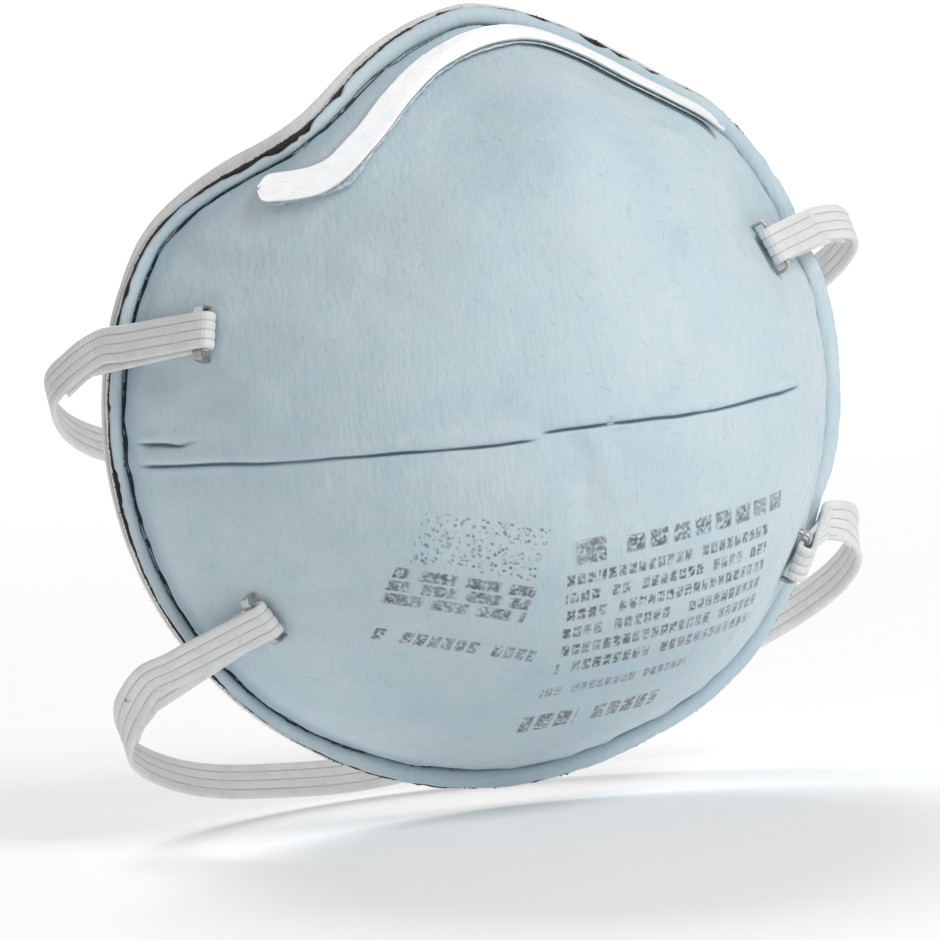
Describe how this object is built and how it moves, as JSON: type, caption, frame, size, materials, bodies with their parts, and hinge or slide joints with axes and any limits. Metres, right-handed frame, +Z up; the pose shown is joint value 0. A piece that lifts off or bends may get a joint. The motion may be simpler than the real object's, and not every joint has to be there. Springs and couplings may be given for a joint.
{
  "type": "disposable dust mask",
  "caption": "Cup-shaped disposable dust mask: layered non-woven cup with a carbon layer, metal nose clip, nose foam and stapled elastic headbands.",
  "frame": {"origin": "centre of the face opening", "axes": "+Z up towards the nose bridge, -Y out of the cup's front, +X to the viewer's right when the front is seen"},
  "size_m": [0.1419, 0.1118, 0.1286],
  "materials": {
    "cover": "matte non-woven web",
    "carbon": "matte carbon-loaded web",
    "filter": "matte fine-fibre web",
    "shell": "matte moulded fibre shell",
    "clip": "satin",
    "adhesive": "clear dried adhesive",
    "foam": "soft open-cell foam",
    "staple": "flat wire, bright",
    "elastic": "braided elastic"
  },
  "bodies": {
    "mask": {"cover_web": "cover", "carbon_web": "carbon", "filter_web": "filter", "inner_shell": "shell", "nose_clip": "clip", "nose_clip_adhesive": "adhesive", "nose_foam": "foam", "staple_upper_left": "staple", "staple_upper_right": "staple", "staple_lower_left": "staple", "staple_lower_right": "staple", "band_end_upper_left": "elastic", "band_end_upper_right": "elastic", "band_end_lower_left": "elastic", "band_end_lower_right": "elastic"},
    "upper_band": {"upper_headband": "elastic", "band_tail_upper_left": "elastic", "band_tail_upper_right": "elastic"},
    "lower_band": {"lower_headband": "elastic", "band_tail_lower_left": "elastic", "band_tail_lower_right": "elastic"}
  },
  "joints": [
    {"name": "upper_headband_swing", "type": "hinge", "parent": "mask", "child": "upper_band", "pos_m": [0, 0.008, 0.0184], "axis": [1, 0, 0], "range_deg": [-15, 85]},
    {"name": "lower_headband_swing", "type": "hinge", "parent": "mask", "child": "lower_band", "pos_m": [0, 0.0085, -0.032], "axis": [1, 0, 0], "range_deg": [-40, 15]}
  ]
}
